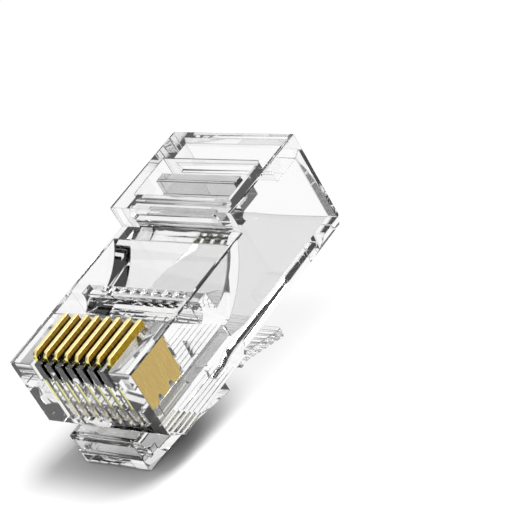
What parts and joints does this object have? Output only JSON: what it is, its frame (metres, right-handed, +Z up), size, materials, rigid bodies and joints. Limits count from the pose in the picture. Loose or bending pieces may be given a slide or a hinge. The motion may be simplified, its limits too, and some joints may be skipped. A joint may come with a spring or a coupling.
{
  "type": "rj45 modular plug",
  "caption": "Clear moulded modular plug for network cable, with gold blade contacts on top, a sprung latch below and a strain-relief bar in a roof window.",
  "frame": {"origin": "on the centre plane, where the nose's front face would meet the underside", "axes": "+X across the plug, +Y from the nose to the cable entry, +Z up, with the contacts on top and the latch below"},
  "size_m": [0.0116, 0.0228, 0.0124],
  "materials": {
    "clear_plastic": "clear, polished",
    "gold_contact": "gold-plated, bright"
  },
  "bodies": {
    "housing": {"housing": "clear_plastic"},
    "latch": {"latch": "clear_plastic"},
    "strain_relief_bar": {"strain_relief_bar": "clear_plastic"},
    "contact_1": {"contact_1": "gold_contact"},
    "contact_2": {"contact_2": "gold_contact"},
    "contact_3": {"contact_3": "gold_contact"},
    "contact_4": {"contact_4": "gold_contact"},
    "contact_5": {"contact_5": "gold_contact"},
    "contact_6": {"contact_6": "gold_contact"},
    "contact_7": {"contact_7": "gold_contact"},
    "contact_8": {"contact_8": "gold_contact"}
  },
  "joints": [
    {"name": "latch_press", "type": "hinge", "parent": "housing", "child": "latch", "pos_m": [0, -0.00068, -0.00075], "axis": [1, 0, 0], "range_deg": [0, 9], "stiffness_Nm_per_rad": 0.2},
    {"name": "bar_crimp", "type": "hinge", "parent": "housing", "child": "strain_relief_bar", "pos_m": [0, 0.01515, 0.0068], "axis": [1, 0, 0], "range_deg": [-30, 0]},
    {"name": "contact_1_crimp", "type": "slide", "parent": "housing", "child": "contact_1", "axis": [0, 0, -1], "range_m": [0, 0.0011]},
    {"name": "contact_2_crimp", "type": "slide", "parent": "housing", "child": "contact_2", "axis": [0, 0, -1], "range_m": [0, 0.0011]},
    {"name": "contact_3_crimp", "type": "slide", "parent": "housing", "child": "contact_3", "axis": [0, 0, -1], "range_m": [0, 0.0011]},
    {"name": "contact_4_crimp", "type": "slide", "parent": "housing", "child": "contact_4", "axis": [0, 0, -1], "range_m": [0, 0.0011]},
    {"name": "contact_5_crimp", "type": "slide", "parent": "housing", "child": "contact_5", "axis": [0, 0, -1], "range_m": [0, 0.0011]},
    {"name": "contact_6_crimp", "type": "slide", "parent": "housing", "child": "contact_6", "axis": [0, 0, -1], "range_m": [0, 0.0011]},
    {"name": "contact_7_crimp", "type": "slide", "parent": "housing", "child": "contact_7", "axis": [0, 0, -1], "range_m": [0, 0.0011]},
    {"name": "contact_8_crimp", "type": "slide", "parent": "housing", "child": "contact_8", "axis": [0, 0, -1], "range_m": [0, 0.0011]}
  ],
  "couplings": [
    {"joint": "contact_2_crimp", "follows": "contact_1_crimp", "ratio": 1},
    {"joint": "contact_3_crimp", "follows": "contact_1_crimp", "ratio": 1},
    {"joint": "contact_4_crimp", "follows": "contact_1_crimp", "ratio": 1},
    {"joint": "contact_5_crimp", "follows": "contact_1_crimp", "ratio": 1},
    {"joint": "contact_6_crimp", "follows": "contact_1_crimp", "ratio": 1},
    {"joint": "contact_7_crimp", "follows": "contact_1_crimp", "ratio": 1},
    {"joint": "contact_8_crimp", "follows": "contact_1_crimp", "ratio": 1}
  ]
}
